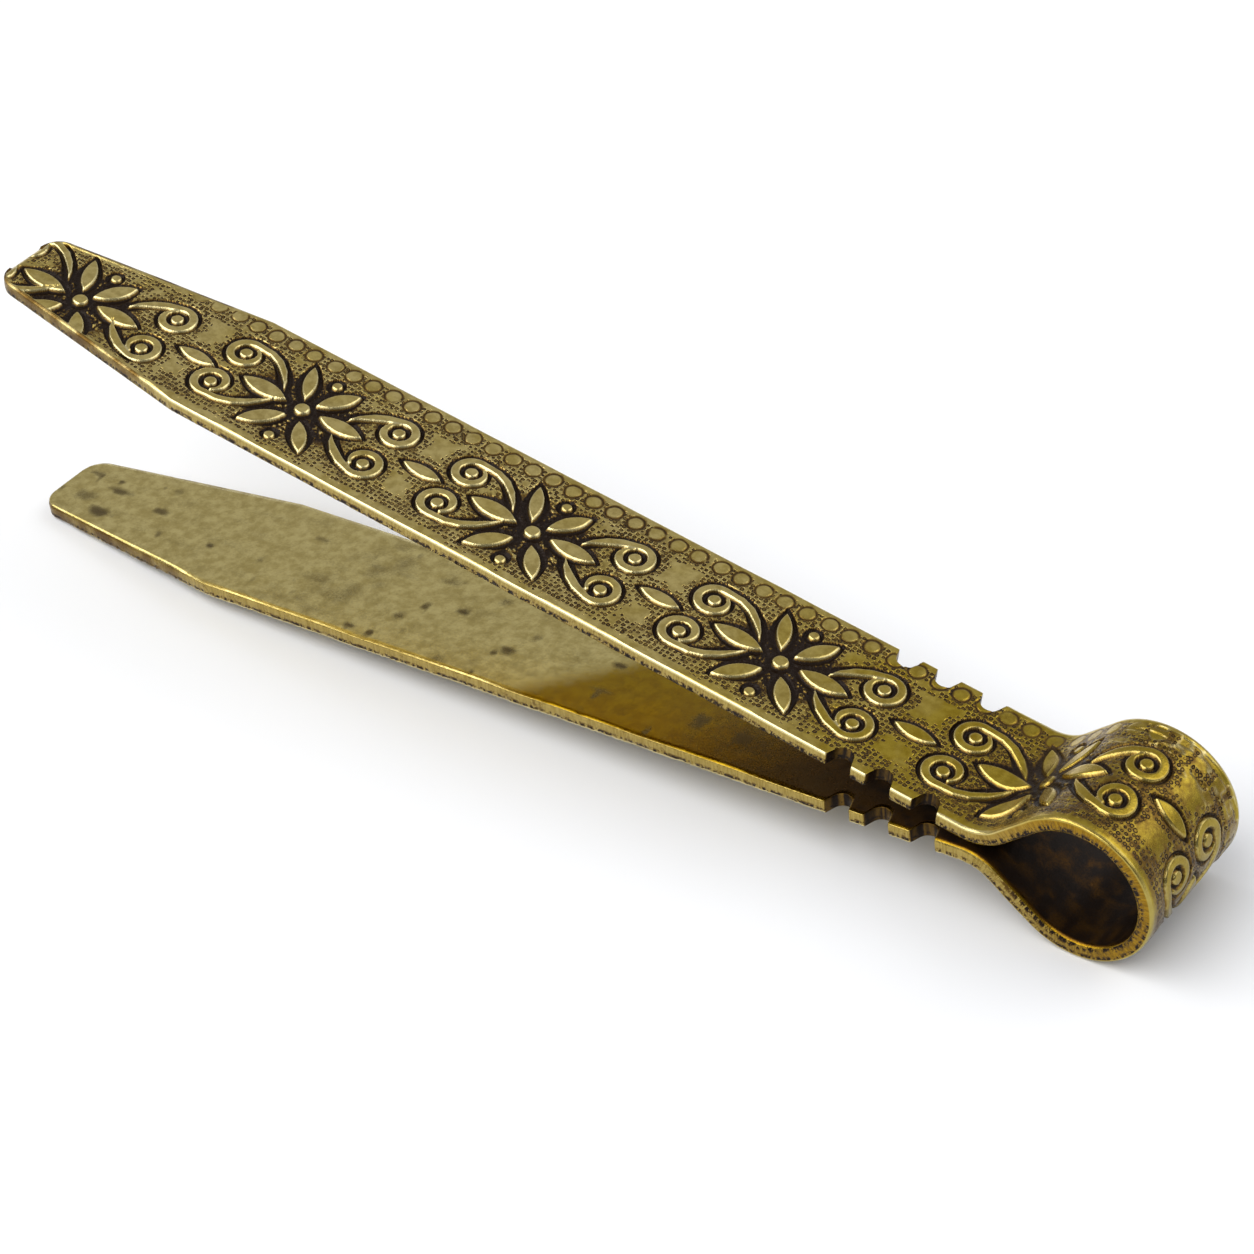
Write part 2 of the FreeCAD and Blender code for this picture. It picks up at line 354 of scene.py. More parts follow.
def motif_fields(s, x, v):
    """For each kind of raised shape, the distance inside the nearest one."""
    fields = {kind: np.full(v.shape, OUTSIDE) for kind in RAISED}
    for low, high, kind, distance in MOTIFS:
        rows = near_stations(s, low - 2.4, high + 2.4)
        if rows is not None:
            fields[kind][rows] = np.maximum(fields[kind][rows], distance(x[rows], v[rows]))
    return fields


def flower_nearness(s, x, v):
    """1 round a flower's middle, falling to 0 past its petals."""
    flower = np.zeros(v.shape)
    for flower_s, flower_v in FLOWERS:
        rows = near_stations(s, flower_s - 9, flower_s + 9)
        if rows is not None:
            reach = np.hypot((x[rows] - flower_s) / 7.6, (v[rows] - flower_v) / 5.2)
            flower[rows] = np.maximum(flower[rows], 1 - smooth(0.62, 1.08, reach))
    return flower


def stamped_rings(x, v):
    """The distance from the middle of the nearest ring on the far margin, and how deep its line is, from 0 to 1."""
    cell = np.round(x / RING_PITCH)
    chance_a = LATTICE[(cell.astype(int) * 5 + 64) % 128, 77]
    chance_b = LATTICE[(cell.astype(int) * 3 + 9) % 128, 21]
    ring_v = RING_V + 0.16 * (chance_a - 0.5)
    ring_x = cell * RING_PITCH + 0.3 * (chance_b - 0.5)
    from_middle = np.hypot(x - ring_x, v - ring_v)
    radius = RING_RADIUS + 0.1 * (noise(x / 0.5, v / 0.5 + 44) - 0.5)
    line = np.clip(1 - np.abs(from_middle - radius) / (0.19 + 0.1 * chance_b), 0, 1)
    # Each one is struck unevenly, and they are worn away at the jaws and on the bow
    angle = np.arctan2(v - ring_v, x - ring_x)
    line = line * smooth(0.12, 0.5, noise(angle * 1.3 + chance_a * 40, chance_b * 40) + 0.25)
    line *= (1 - smooth(117, 131, np.abs(x))) * (1 - 0.85 * smooth(-30, -24, x) * smooth(19, 13, x))
    return from_middle, line


def relief(s, v, ends):
    """Height, tarnish, stipple, and pale rubbed brass that also paints highlights, on the outer face.

    s is a column, v a grid, and ends the grid of distances to the strip's edges and end.
    """
    x = np.broadcast_to(s[:, None], v.shape)
    fields = motif_fields(s, x, v)
    petal, scroll, eye, bead = (fields[kind] for kind in ("petal", "scroll", "eye", "bead"))
    inside = np.maximum.reduce([petal, scroll, eye, bead])
    flower = flower_nearness(s, x, v)
    on_bow = 1 - smooth(18, 40, np.abs(x))

    # The ground, with a level margin at each edge
    level = MARGIN + (GROUND - MARGIN) * (1 - smooth(4.9, 6.3, np.abs(v + 0.2)))
    wave = noise(x / 2.3 + 7, v / 2.0) - 0.5
    height = level + 0.03 * wave

    # Where the ground is stippled: round the motifs and in a row along each margin
    halo = smooth(-1.6, -0.7, inside)
    margins = np.maximum(
        smooth(4.5, 5.0, v) * (1 - smooth(7.0, 7.4, v)),
        smooth(4.4, 5.2, -v) * (1 - smooth(6.9, 7.2, -v)),
    )
    stipple = np.maximum(
        halo * (0.4 + 0.75 * noise(x / 1.7, v / 1.4 + 31)),
        margins * (0.4 + 0.65 * noise(x / 3.1 + 3, v / 0.9)),
    ) * smooth(-0.05, -0.2, inside)

    from_ring, ring_line = stamped_rings(x, v)
    ring_line *= inside < -0.1
    stipple = stipple * smooth(0.82, 1.06, from_ring)
    height -= 0.09 * ring_line

    # Worn and dented on the top of the bow
    dented = smooth(-14, -6, x) * smooth(18, 12, x) * smooth(3.2, 4.6, v)
    dent = smooth(0.42, 0.66, noise(x / 1.25 + 80, v / 0.48))
    height -= 0.12 * dented * dent

    # The black zone round each flower: low, and speckled with small raised grains
    near_petal = smooth(-1.5, -0.7, np.maximum(petal, scroll + 0.1))
    black = flower * np.clip(near_petal + 0.2, 0, 1)
    grain = noise(x / 0.2, v / 0.19 + 50)
    height = height + black * (-0.2 + 0.15 * smooth(0.5, 0.78, grain))
    speck = smooth(0.52, 0.7, grain)

    # Moats and raised shapes
    moat_width = 0.35 + 0.33 * flower
    moat = smooth(-1.0, -0.45, inside / moat_width) * (inside < 0.1)
    height = height + (MOAT - height) * moat
    for kind, (top, bevel, drop) in RAISED.items():
        field = fields[kind]
        wall = MOAT + (top - drop - MOAT) * np.clip(field / WALL, 0, 1)
        rise = np.interp(field, [0.06, 0.06 + 0.78 * bevel, 0.06 + bevel, 0.06 + 1.4 * bevel], [0, 0.84, 0.965, 1])
        below = np.where(field < 0.02, height, OUTSIDE)
        height = np.where(field > 0, np.maximum(below, wall + drop * rise), height)
    height += 0.012 * (noise(x / 0.5, v / 0.5 + 9) - 0.5) * (inside > 0)

    # Each coil holds dirt all the way up its inner wall
    well = smooth(-0.58, -0.42, eye)
    tarnish = np.maximum.reduce([
        smooth(-1.12, -0.8, inside / moat_width) * (1 - smooth(-0.02, 0.08, inside)) * (0.92 + 0.08 * flower),
        black * (1 - 0.85 * speck) * (inside < 0),
        0.85 * ring_line,
        0.30 * (inside > 0) * (1 - smooth(0.0, 0.2, inside)),
        well * (1 - smooth(0.03, 0.17, scroll)) * (eye < 0.03),
    ])
    tarnish = tarnish * np.interp(np.abs(s), [0, 14, 30, 60, 100], [0.8, 0.85, 1, 1, 0.95])[:, None]
    # Grime lies thinly over the stippled ground and the bow
    film = (0.3 * stipple + 0.16 * on_bow) * (inside < 0) * noise(x / 0.4 + 13, v / 0.4)
    film = film + 0.1 * smooth(0.4, 0.8, noise(x / 1.9 + 23, v / 1.6)) * (1 - 0.6 * on_bow)
    film = film + on_bow * (0.13 + 0.05 * smooth(13, 5, np.abs(x)))
    tarnish = np.maximum(tarnish, film)

    # Rubbed away towards the edges
    fade = smooth(0.0, 0.3, ends)
    height = MARGIN + (height - MARGIN) * fade
    # The flower in the neck's bend is worn nearly flat
    rubbed = 0.5 * smooth(8, 3, np.abs(x - 22)) * smooth(-3.5, 1.0, v)
    height = height + (GROUND + 0.04 - height) * rubbed
    tarnish = tarnish * fade * (1 - 0.35 * rubbed)

    # Bevels rubbed pale, partly real wear and partly a painted highlight, and painted glints on the lips round the
    # dents
    rub_and_highlight = smooth(0.02, 0.08, inside) * (1 - smooth(0.15, 0.27, inside)) * (1 - 1.6 * rubbed) * (1 - 0.6 * on_bow)
    rub_and_highlight = rub_and_highlight * (1 - 0.75 * well * (scroll > 0)) * (1 - 0.6 * (bead > 0))
    rub_and_highlight = np.maximum(rub_and_highlight, 0.9 * dented * (1 - np.abs(2 * dent - 1)) * (inside < 0))
    return height, tarnish, stipple * smooth(0.1, 0.5, ends), rub_and_highlight


# ---- the mesh of one length of strip --------------------------------------

class Edge:
    """The near (-1) or far (1) edge of a length of strip: where it is, where it is filed, and how soft it is."""

    def __init__(self, half, s, side):
        width, cut = half.half_width(s, side)
        worn = 1 + 0.9 * smooth(26, 20, half.length - s) + 0.9 * smooth(34, 22, s)
        self.side = side
        self.width = width[:, None]
        self.filed = smooth(0.0, 0.12, cut)[:, None]
        self.softness = (1 - 0.8 * self.filed) * worn[:, None]
        self.limit = self.width - CHAMFER_WIDTH * self.softness

    def columns(self, half, s, rim_height, rim_tarnish):
        """Its chamfer and side, from the outer face inwards: v, height, tarnish, face, stipple, and rubbing with
        painted highlight.
        """
        inset, drop = np.array(CHAMFER + SIDE).T[:, None, :]
        along, filed, side = s[:, None], self.filed, self.side
        near_jaw = smooth(26, 20, half.length - along)
        share = np.minimum(1.0, drop / CHAMFER_DEPTH)
        # Nicks along the lower rim of each side: the inner face's on the upper half, the outer face's on the lower
        lip = smooth(0.7, 1.44, drop) if half.side > 0 else 1 - smooth(0.1, 0.8, drop)
        nick_x = along / 0.3 + drop * 0.9 * (1 + noise(along / 3.0, 0.0))
        nick = smooth(0.28, 0.6, noise(nick_x, 17.0 + 5 * side + 0.8 * drop))
        nick = nick * (0.35 + 0.65 * noise(along / 2.1 + 9, side))
        scratch = noise(along / 0.16 + 3, 40.0)
        inwards = inset * self.softness + 0.11 * lip * nick * (1 - filed) * smooth(14, 30, along)
        inwards = inwards + 0.05 * filed * scratch
        # The outer edge isn't quite true
        inwards = inwards + 0.06 * noise(along / 5.0 + 2 * side, 70.0) * (1 - filed)
        v = side * (self.width - inwards)
        height = np.maximum(rim_height * (1 - share) - drop, -THICKNESS)
        marks = 0.45 * filed + 0.55 * filed * scratch
        marks = np.maximum(marks, near_jaw * (0.2 + 0.35 * noise(along / 1.3 + 60, drop)))
        tarnish = np.clip(np.maximum(marks, rim_tarnish * (1 - share) * 0.5), 0, 1)
        # The chamfer is rubbed pale, partly wear and partly a painted highlight
        rubbed = (1 - 0.6 * near_jaw) * (0.2 + 0.8 * smooth(16, 30, along))
        rub_and_highlight = rubbed * (np.arange(drop.size) < len(CHAMFER))
        return v, height, tarnish, smooth(0.2, 0.4, drop), 0.0, rub_and_highlight


def outer_columns(half, s, near, far):
    """The ornamented outer face: v, height, tarnish, face, stipple, and rubbing with painted highlight."""
    full = HALF_WIDTH - CHAMFER_WIDTH
    base = np.linspace(-full, full, int(round(2 * full / PITCH)) + 1)
    # Columns keep their place, and only the outermost ones make room for the notches and the jaw
    v = np.empty((len(s), len(base)))
    for edge in (near, far):
        outward = base * edge.side >= 0
        r = np.abs(base[outward])[None, :]
        knee = KNEE * np.minimum(1, edge.limit / KNEE_REACH)
        past_knee = knee + (r - KNEE) / (full - KNEE) * (edge.limit - knee)
        v[:, outward] = edge.side * np.where(r < KNEE, r * knee / KNEE, past_knee)
    notched = np.maximum(near.filed * (v < 0), far.filed * (v > 0))
    ends = np.minimum(far.limit - v, v + near.limit) + 0.5 * notched
    to_end = (half.length - s)[:, None]
    height, tarnish, stipple, rub_and_highlight = relief(s * half.side, v, np.minimum(ends, 0.35 * (to_end - 0.2)))
    height = height - 0.45 * np.clip(1 - to_end / 0.9, 0, 1) ** 2
    return v, height, tarnish, 0.0, stipple, rub_and_highlight


def inner_columns(half, s, near, far):
    """The plain inner face, from the far edge to the near one: v, height, tarnish, face, stipple, and rubbing with
    painted highlight.
    """
    across = np.linspace(1, 0, INNER_COLUMNS)[None, :]
    low, high = INNER_MARGIN - near.width, far.width - INNER_MARGIN
    v = low + across * (high - low)
    x = np.broadcast_to(s[:, None], v.shape)
    dents = smooth(0.72, 0.95, noise(x / 2.1 + 5, v / 1.3 + 90)) * 0.03
    rim = smooth(0.0, 0.35, np.minimum(high - v, v - low))
    tarnish = stains_and_shade(half.side * x, v) * (0.25 + 0.75 * rim)
    return v, -THICKNESS + INNER_LEVEL + dents, tarnish, 2.0, 0.0, 0.0


def strip_length(name, half, start, end):
    """One length of the strip, as a closed mesh whose rings go round it and follow it away from the bow."""
    s = half.rings(start, end)
    near, far = Edge(half, s, -1), Edge(half, s, 1)
    outer = outer_columns(half, s, near, far)
    height, tarnish = outer[1:3]
    far_side = far.columns(half, s, height[:, -1:], tarnish[:, -1:])
    near_side = near.columns(half, s, height[:, :1], tarnish[:, :1])
    near_side = tuple(np.broadcast_to(values, near_side[0].shape)[:, ::-1] for values in near_side)
    faces = [outer, far_side, inner_columns(half, s, near, far), near_side]
    v, h, tarnish, face, stipple, rub_and_highlight = (
        np.concatenate([np.broadcast_to(part[n], part[0].shape) for part in faces], axis=1) for n in range(6)
    )
    along = np.broadcast_to(s[:, None], v.shape)
    return ring_mesh(name, half.place(along, v, h), half.side, {
        "strip_place": np.stack([half.side * along, v, h], -1),
        "tarnish": tarnish,
        "face": face,
        "stipple": stipple,
        "rub_and_highlight": rub_and_highlight,
    })


STAINS = [               # on the lower arm's inner face: (s, v, length, width, darkness)
    (-134.0, 1.0, 1.6, 0.5, 0.5), (-133.6, -2.9, 1.5, 0.8, 0.6), (-137.0, -1.4, 1.3, 1.1, 0.35),
    (-127.5, 0.1, 1.0, 0.6, 0.45), (-128.2, 3.7, 0.7, 0.5, 0.3), (-125.0, -3.2, 0.6, 0.5, 0.4),
    (-118.6, -2.5, 0.5, 0.35, 0.55), (-106.5, -2.9, 0.9, 0.25, 0.45), (-96.4, -6.8, 0.7, 0.5, 0.5),
    (-93.8, -6.8, 0.5, 0.5, 0.6), (-91.4, 4.0, 1.4, 0.6, 0.35), (-92.8, -3.2, 0.7, 0.6, 0.4),
    (-112.0, -1.8, 0.5, 0.4, 0.4), (-91.4, -0.6, 0.5, 0.4, 0.5), (-87.5, 0.4, 0.8, 0.5, 0.6),
    (-84.8, -7.0, 0.8, 0.4, 0.5), (-84.5, 3.6, 0.8, 0.5, 0.35), (-79.6, -2.9, 0.9, 0.45, 0.6),
    (-78.2, 0.0, 0.7, 0.4, 0.45), (-68.0, 0.2, 0.9, 0.45, 0.6), (-56.2, -3.4, 1.1, 1.2, 0.5),
    (-51.0, -3.9, 1.4, 1.2, 0.5),
]


def stains_and_shade(s, v):
    """Tarnish on the inner face: some set spots on the lower arm, small chance ones, and more of it near the neck and
    in the bow, which is partly painted shade.
    """
    spots = np.zeros(v.shape)
    for spot_s, spot_v, length, width, dark in STAINS:
        reach = np.hypot((s - spot_s) / length, (v - spot_v) / width)
        spots = np.maximum(spots, dark * smooth(1.7, 0.2, reach + 0.7 * (noise(s / 0.7, v / 0.6) - 0.5)))
    chance = smooth(0.78, 1.0, noise(s / 1.3 + 40, v / 1.2 + 12)) * smooth(0.3, 0.7, noise(s / 9.0, v / 5.0 + 60)) * 0.5
    smear = 0.3 * smooth(8, 2, np.abs(np.abs(s) - 101 + 0.5 * v)) * noise(s / 2.0 + 4, v / 0.9 + 3)
    # Heavier towards the bow: tarnish, and painted shade inside the bow and the neck
    neck = np.interp(np.abs(s), [0, 24, 36, 46, 62], [0.74, 0.74, 0.66, 0.4, 0.1])
    neck = neck * (0.8 + 0.4 * noise(s / 0.9, v / 0.8 + 7))
    cloud = 0.2 * noise(s / 2.2 + 71, v / 1.2) ** 1.5
    return np.clip(np.maximum.reduce([spots, chance, neck, smear, cloud]), 0, 1)


def ring_mesh(name, points, side, values):
    """A closed tube from a grid of rings, with flat ends, a bake map and the given point values."""
    rings, loop = points.shape[:2]
    i, j = np.meshgrid(np.arange(rings - 1), np.arange(loop), indexing="ij")
    k = (j + 1) % loop
    quads = np.stack([i * loop + j, i * loop + k, (i + 1) * loop + k, (i + 1) * loop + j], -1).reshape(-1, 4)
    caps = [np.arange(loop)[::-1], (rings - 1) * loop + np.arange(loop)]
    # Rings run away from the bow, so which way round is outwards depends on the half
    if side < 0:
        quads, caps = quads[:, ::-1], [cap[::-1] for cap in caps]
    corners = np.concatenate([quads.ravel(), *caps])
    starts = np.concatenate([np.arange(len(quads)) * 4, [len(quads) * 4, len(quads) * 4 + loop]])
    mesh = bpy.data.meshes.new(name)
    mesh.vertices.add(rings * loop)
    mesh.vertices.foreach_set("co", points.astype(np.float32).ravel())
    mesh.loops.add(len(corners))
    mesh.loops.foreach_set("vertex_index", corners.astype(np.int32))
    mesh.polygons.add(len(starts))
    mesh.polygons.foreach_set("loop_start", starts.astype(np.int32))
    mesh.update(calc_edges=True)
    mesh.polygons.foreach_set("use_smooth", np.ones(len(starts), bool))
    add_bake_map(mesh, points, quads, caps)

    # The ends' rims stay sharp
    pairs = np.empty(len(mesh.edges) * 2, np.int32)
    mesh.edges.foreach_get("vertices", pairs)
    pairs = pairs.reshape(-1, 2)
    on_end = ((pairs < loop).all(axis=1)) | ((pairs >= (rings - 1) * loop).all(axis=1))
    mesh.attributes.new("sharp_edge", "BOOLEAN", "EDGE").data.foreach_set("value", on_end)
    for key, value in values.items():
        kind, field = ("FLOAT_VECTOR", "vector") if value.ndim == 3 else ("FLOAT", "value")
        mesh.attributes.new(key, kind, "POINT").data.foreach_set(field, value.astype(np.float32).ravel())
    mesh.validate()
    obj = bpy.data.objects.new(name, mesh)
    bpy.context.scene.collection.objects.link(obj)
    return obj


def add_bake_map(mesh, points, quads, caps):
    """Along the strip one way and round it the other, with the two ends in a strip of their own."""
    loop = points.shape[1]
    step = np.linalg.norm(np.diff(points, axis=0), axis=2).mean(axis=1)
    along = np.concatenate([[0], np.cumsum(step)]) / step.sum()
    around = np.linspace(0, 1, loop + 1)
    column = quads % loop
    # The last quad of each ring ends past the last column, not back at the first
    last = (column == 0) & (column.max(axis=1, keepdims=True) == loop - 1)
    uv = np.empty((quads.size + 2 * loop, 2))
    uv[:quads.size, 0] = 0.01 + 0.98 * along[quads // loop].ravel()
    uv[:quads.size, 1] = 0.01 + 0.95 * around[np.where(last, loop, column)].ravel()
    for n, cap in enumerate(caps):
        flat = points[cap[0] // loop]
        place = flat - flat.mean(axis=0)
        axes = np.linalg.svd(place, full_matrices=False)[2][:2]
        local = place @ axes.T / np.abs(place @ axes[0]).max() / 2 + 0.5
        first = quads.size + n * loop
        uv[first:first + loop, 0] = 0.02 + 0.45 * n + 0.4 * local[cap % loop, 0]
        uv[first:first + loop, 1] = 0.985 + 0.1 * (local[cap % loop, 1] - 0.5)
    mesh.uv_layers.new(name="OFBake").data.foreach_set("uv", uv.astype(np.float32).ravel())


# ---- the brass ------------------------------------------------------------

# Metal colours, each as its lighter and darker shade
PALE = (0.69, 0.55, 0.205, 1), (0.495, 0.376, 0.118, 1)
WARM = (0.50, 0.36, 0.044, 1), (0.372, 0.25, 0.019, 1)
# The sides' brass, darker than the outer face's: file marks, and painted shade
FILED_AND_SHADED = (0.43, 0.32, 0.095, 1), (0.29, 0.20, 0.045, 1)
FILED_BOW_AND_SHADED = (0.36, 0.20, 0.012, 1), (0.2, 0.10, 0.006, 1)
INNER = (0.74, 0.61, 0.24, 1), (0.52, 0.405, 0.13, 1)
# The inner face towards the bow: a painted reflection of the other arm, with its shade
INNER_ARM_REFLECTION = (0.36, 0.225, 0.006, 1), (0.28, 0.16, 0.004, 1)
DULL = (0.21, 0.175, 0.022, 1)
# Pale rubbed brass, also used to paint highlights on the bevels, chamfers and dent lips
RUBBED_AND_HIGHLIGHT = (0.88, 0.80, 0.48, 1)
# Dirt: the thin film on each face, and what fills the hollows
OUTER_FILM = (0.15, 0.085, 0.018, 1)
INNER_FILM = (0.165, 0.12, 0.04, 1)
# Darker film inside the bow and neck, which is partly painted shade
NECK_FILM_AND_SHADE = (0.11, 0.05, 0.008, 1)
HOLLOWS = (0.012, 0.006, 0.003, 1)


class Nodes:
    """Short calls that build up a node tree."""

    def __init__(self, tree):
        self.tree = tree

    def new(self, kind, inputs=None, **settings):
        node = self.tree.nodes.new(kind)
        for key, value in settings.items():
            setattr(node, key, value)
        for key, value in (inputs or {}).items():
            self.put(node.inputs[key], value)
        return node

    def put(self, socket, value):
        if isinstance(value, bpy.types.NodeSocket):
            self.tree.links.new(value, socket)
        else:
            socket.default_value = value

    def attribute(self, name, output):
        return self.new("ShaderNodeAttribute", attribute_name=name).outputs[output]

    def math(self, operation, *values, clamp=False):
        node = self.new("ShaderNodeMath", operation=operation, use_clamp=clamp)
        for socket, value in zip(node.inputs, values):
            self.put(socket, value)
        return node.outputs[0]

    def ramp(self, value, low, high, out_low=0.0, out_high=1.0):
        """A smooth step from out_low, where value is low, to out_high, where it is high."""
        ends = {"From Min": low, "From Max": high, "To Min": out_low, "To Max": out_high}
        node = self.new("ShaderNodeMapRange", {"Value": value, **ends})
        node.interpolation_type = "SMOOTHSTEP"
        return node.outputs["Result"]

    def mix(self, factor, a, b):
        node = self.new("ShaderNodeMix", data_type="RGBA")
        for name, value in (("Factor_Float", factor), ("A_Color", a), ("B_Color", b)):
            self.put(next(s for s in node.inputs if s.identifier == name), value)
        return next(s for s in node.outputs if s.identifier == "Result_Color")

    def noise(self, place, scale, detail=3.0, rough=0.5, stretch=None):
        if stretch:
            place = self.new("ShaderNodeVectorMath", {0: place, 1: stretch}, operation="MULTIPLY").outputs[0]
        settings = {"Vector": place, "Scale": scale, "Detail": detail, "Roughness": rough}
        return self.new("ShaderNodeTexNoise", settings).outputs["Fac"]

    def plus_grain(self, value, grain, amount):
        """value, moved up and down by amount times a noise."""
        return self.math("ADD", value, self.math("MULTIPLY", self.math("SUBTRACT", grain, 0.5), amount))


def antique_brass():
    """Patinated brass, told where it is by the values stored on the mesh."""
    material = bpy.data.materials.new("antique_brass")
    material.use_nodes = True
    material.node_tree.nodes.clear()
    n = Nodes(material.node_tree)
    place = n.attribute("strip_place", "Vector")
    tarnish = n.attribute("tarnish", "Fac")
    face = n.attribute("face", "Fac")
    split = n.new("ShaderNodeSeparateXYZ", {"Vector": place})
    along, across, depth = (split.outputs[axis] for axis in "XYZ")
    from_bow = n.math("ABSOLUTE", along)
    upper = n.math("GREATER_THAN", along, 0.0)
    lower = n.math("SUBTRACT", 1.0, upper)
    inner = n.ramp(face, 1.0, 2.0)
    side = n.math("SUBTRACT", n.ramp(face, 0.0, 1.0), inner, clamp=True)

    broad = n.noise(place, 0.16, 3.0, 0.55)
    middle = n.noise(place, 0.9, 4.0, 0.6)
    fine = n.noise(place, 4.5, 4.0, 0.65)
    file_marks = n.noise(place, 1.0, 3.0, 0.6, stretch=(7.0, 7.0, 0.5))

    # Punched dots: round pits with paler middles, in some cells of a loose net
    flat = n.new("ShaderNodeCombineXYZ", {"X": along, "Y": across}).outputs[0]
    net = n.new("ShaderNodeTexVoronoi", {"Vector": flat, "Scale": 1.9, "Randomness": 0.4}, voronoi_dimensions="2D")
    chance = n.new("ShaderNodeSeparateColor", {"Color": net.outputs["Color"]})
    size = n.math("MULTIPLY_ADD", chance.outputs["Red"], 0.18, 0.355)
    from_rim = n.math("SUBTRACT", size, net.outputs["Distance"])
    here = n.ramp(n.math("MULTIPLY_ADD", chance.outputs["Green"], -0.6, n.attribute("stipple", "Fac")), 0.0, 0.15)
    pit = n.math("MULTIPLY", n.ramp(from_rim, 0.0, 0.13), here)
    pit_shade = n.math("MULTIPLY", pit, n.ramp(from_rim, 0.36, 0.16, 0.45, 1.0))
    pit_shade = n.math("MULTIPLY", pit_shade, n.math("MULTIPLY_ADD", chance.outputs["Blue"], 0.35, 0.65))
    tarnish = n.math("MAXIMUM", tarnish, pit_shade)

    # Dark specks along the rough lower rim of each side, the inner face's on the upper half and the outer face's on the
    # lower, and dark blotches over the sides
    low_rim = n.math("MAXIMUM", n.math("MULTIPLY", upper, n.ramp(depth, -0.6, -1.15)),
                     n.math("MULTIPLY", lower, n.ramp(depth, -0.9, -0.35)))
    bow_rim = n.math("MULTIPLY", n.ramp(from_bow, 26.0, 16.0), n.ramp(depth, -0.7, -1.3))
    low_rim = n.math("MAXIMUM", low_rim, bow_rim)
    ticks = n.ramp(n.noise(place, 1.0, 3.0, 0.7, stretch=(2.8, 1.2, 2.0)), 0.42, 0.56)
    blotches = n.ramp(n.noise(place, 0.8, 4.0, 0.7), 0.5, 0.75, 0.0, 0.4)
    side_specks = n.math("MAXIMUM", n.math("MULTIPLY", n.math("MULTIPLY", low_rim, ticks), side),
                  n.math("MULTIPLY", side, blotches))
    tarnish = n.math("MAXIMUM", tarnish, side_specks)

    # The outer face: the bow and neck are yellower than the jaws, and the back of the bow duller and greener
    yellow = n.math("ADD", n.ramp(from_bow, 70.0, 22.0), n.ramp(broad, 0.45, 0.62, 0.0, 0.35), clamp=True)
    shade = n.ramp(middle, 0.35, 0.68)
    metal = n.mix(yellow, n.mix(shade, *PALE), n.mix(shade, *WARM))
    metal = n.mix(n.ramp(from_bow, 13.0, 2.0, 0.0, 0.5), metal, DULL)
    # The sides: browner on the bow, further along above than below, and darker than the outer face as painted shade
    brown_reach = n.math("MULTIPLY_ADD", lower, 9.0, from_bow)
    side_metal = n.mix(
        n.ramp(brown_reach, 30.0, 14.0),
        n.mix(n.ramp(file_marks, 0.4, 0.65), *FILED_AND_SHADED),
        n.mix(n.ramp(file_marks, 0.35, 0.65), *FILED_BOW_AND_SHADED),
    )
    metal = n.mix(n.math("MULTIPLY", side, 0.9), metal, side_metal)
    # The inner face: past a sharp line across it, the brass is browner towards the bow, which paints the other arm's
    # reflection and shade
    arm_reflection_line = n.math("MULTIPLY_ADD", across, 0.9, from_bow)
    arm_reflection_line = n.math("MULTIPLY_ADD", n.math("SUBTRACT", middle, 0.5), 5.0, arm_reflection_line)
    inner_shade = n.ramp(middle, 0.3, 0.7)
    inner_metal = n.mix(n.ramp(arm_reflection_line, 70.0, 66.0), n.mix(inner_shade, *INNER), n.mix(inner_shade, *INNER_ARM_REFLECTION))
    metal = n.mix(inner, metal, inner_metal)
    # Pale rubbed brass on the bevels and chamfers, which also paints their highlights
    metal = n.mix(n.math("MULTIPLY", n.attribute("rub_and_highlight", "Fac"), 0.55), metal, RUBBED_AND_HIGHLIGHT)

    # Thin brown film over the ground, thick black in the recesses
    film = n.ramp(n.plus_grain(tarnish, fine, 0.35), 0.04, 0.5)
    # Towards the bow the inner face's film turns dark brown, partly as painted shade
    stain = n.mix(inner, OUTER_FILM, n.mix(n.ramp(from_bow, 60.0, 30.0), INNER_FILM, NECK_FILM_AND_SHADE))
    black = n.ramp(n.plus_grain(tarnish, fine, 0.3), 0.42, 0.82)
    colour = n.mix(black, n.mix(film, metal, stain), HOLLOWS)

    rough = n.math("ADD", n.ramp(fine, 0.3, 0.75, 0.11, 0.21), n.math("MULTIPLY", film, 0.16))
    rough = n.math("ADD", rough, n.math("MULTIPLY", side, 0.08))
    grain = n.math("MULTIPLY", n.noise(place, 14.0, 2.0, 0.5), 0.35)
    height = n.math("ADD", n.math("MULTIPLY", fine, 0.5), grain)
    height = n.math("ADD", height, n.math("MULTIPLY", n.math("MULTIPLY", file_marks, side), 1.2))
    height = n.math("SUBTRACT", height, n.math("MULTIPLY", pit, 1.8))
    height = n.math("SUBTRACT", height, n.math("MULTIPLY", side_specks, 0.8))
    bump = n.new("ShaderNodeBump", {"Height": height, "Strength": 0.5, "Distance": 0.00006})
    shader = n.new("ShaderNodeBsdfPrincipled", {
        "Base Color": colour,
        "Metallic": n.math("SUBTRACT", 1.0, n.math("MULTIPLY", black, 0.75)),
        "Roughness": rough,
        "Specular IOR Level": 0.12,
        "Normal": bump.outputs["Normal"],
    })
    n.new("ShaderNodeOutputMaterial", {"Surface": shader.outputs["BSDF"]})
    return material


# ---- the tongs ------------------------------------------------------------

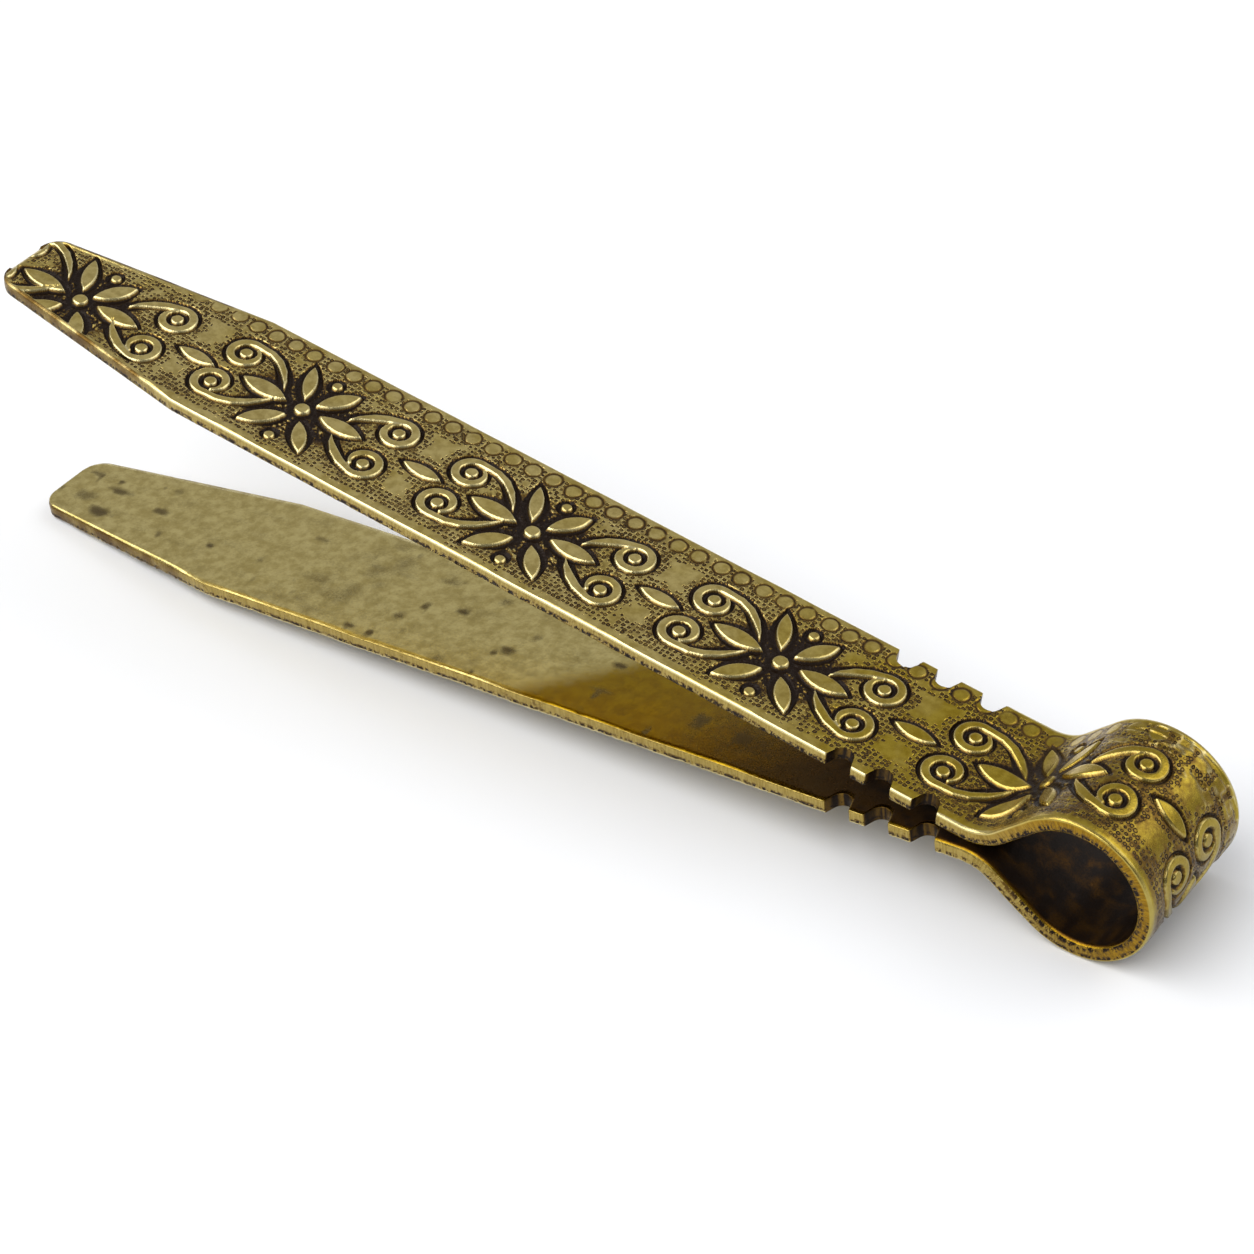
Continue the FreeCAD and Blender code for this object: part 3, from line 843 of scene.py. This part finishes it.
brass = antique_brass()
for word, side in (("upper", 1), ("lower", -1)):
    half = Half(side)
    shoulder = strip_length(word + "_shoulder", half, 0.0, SHOULDER_END)
    root = strip_length(word + "_root", half, SHOULDER_END, JAW_START)
    jaw = strip_length(word + "_jaw", half, JAW_START, half.length)
    for piece in (shoulder, root, jaw):
        piece.data.materials.append(brass)
    neck, arm = word + "_neck", word + "_arm"
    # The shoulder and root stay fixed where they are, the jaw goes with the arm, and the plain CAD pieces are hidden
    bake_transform(shoulder)
    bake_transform(root)
    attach(jaw, arm)
    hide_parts("spring_bow", neck)
    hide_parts(neck, arm)
    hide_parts(arm)


# ---- floor, light and camera ----------------------------------------------

FLOOR_REACH = 4.0        # metres
FLOOR_COLOUR = (0.85, 0.855, 0.868, 1)
# The studio behind the lights: darker towards the camera, and pale along the horizon
SKY_NEAR = (0.24, 0.245, 0.25, 1)
SKY_FAR = (0.50, 0.505, 0.52, 1)
HORIZON = (0.85, 0.86, 0.88, 1)
CAMERA_PLACE = (0.1820, -0.2197, 0.2255)
CAMERA_FORWARD = (-0.4960, 0.6207, -0.6072)
CAMERA_RIGHT = (0.8117, 0.5798, -0.0703)

scene = bpy.context.scene
scene.view_settings.view_transform = "Standard"

floor_mesh = bpy.data.meshes.new("floor")
floor_corners = [(x * FLOOR_REACH, y * FLOOR_REACH, 0) for x, y in ((-1, -1), (1, -1), (1, 1), (-1, 1))]
floor_mesh.from_pydata(floor_corners, [], [(0, 1, 2, 3)])
floor = bpy.data.objects.new("floor", floor_mesh)
scene.collection.objects.link(floor)
paper = bpy.data.materials.new("paper")
paper.use_nodes = True
paper_inputs = paper.node_tree.nodes["Principled BSDF"].inputs
paper_inputs["Base Color"].default_value = FLOOR_COLOUR
paper_inputs["Roughness"].default_value = 0.9
floor_mesh.materials.append(paper)

world = bpy.data.worlds.new("studio")
scene.world = world
world.use_nodes = True
sky = Nodes(world.node_tree)
outwards = sky.new("ShaderNodeSeparateXYZ", {"Vector": sky.new("ShaderNodeTexCoord").outputs["Generated"]})
backdrop = sky.mix(sky.ramp(outwards.outputs["Y"], -0.35, 0.25), SKY_NEAR, SKY_FAR)
backdrop = sky.mix(sky.ramp(outwards.outputs["Z"], 0.2, 0.04), backdrop, HORIZON)
sky.put(world.node_tree.nodes["Background"].inputs["Color"], backdrop)


def softbox(name, place, target, size, power):
    light = bpy.data.lights.new(name, "AREA")
    light.shape = "RECTANGLE"
    light.size, light.size_y = size
    light.energy = power
    obj = bpy.data.objects.new(name, light)
    obj.location = place
    obj.rotation_euler = (Vector(target) - Vector(place)).to_track_quat("-Z", "Y").to_euler()
    scene.collection.objects.link(obj)


softbox("front", (-0.93, -1.29, 2.16), (-0.03, -0.03, 0.0), (4.35, 2.4), 95.0)
softbox("back", (1.5, 1.26, 1.86), (-0.03, 0.0, 0.0), (2.7, 2.1), 24.0)

camera = bpy.data.objects.new("camera", bpy.data.cameras.new("camera"))
camera.data.lens = 107.0
camera.data.sensor_width = 36.0
forward = Vector(CAMERA_FORWARD).normalized()
right = (Vector(CAMERA_RIGHT) - Vector(CAMERA_RIGHT).dot(forward) * forward).normalized()
turn = Matrix((right, right.cross(forward), -forward)).transposed()
camera.matrix_world = Matrix.Translation(Vector(CAMERA_PLACE)) @ turn.to_4x4()
scene.collection.objects.link(camera)
scene.camera = camera
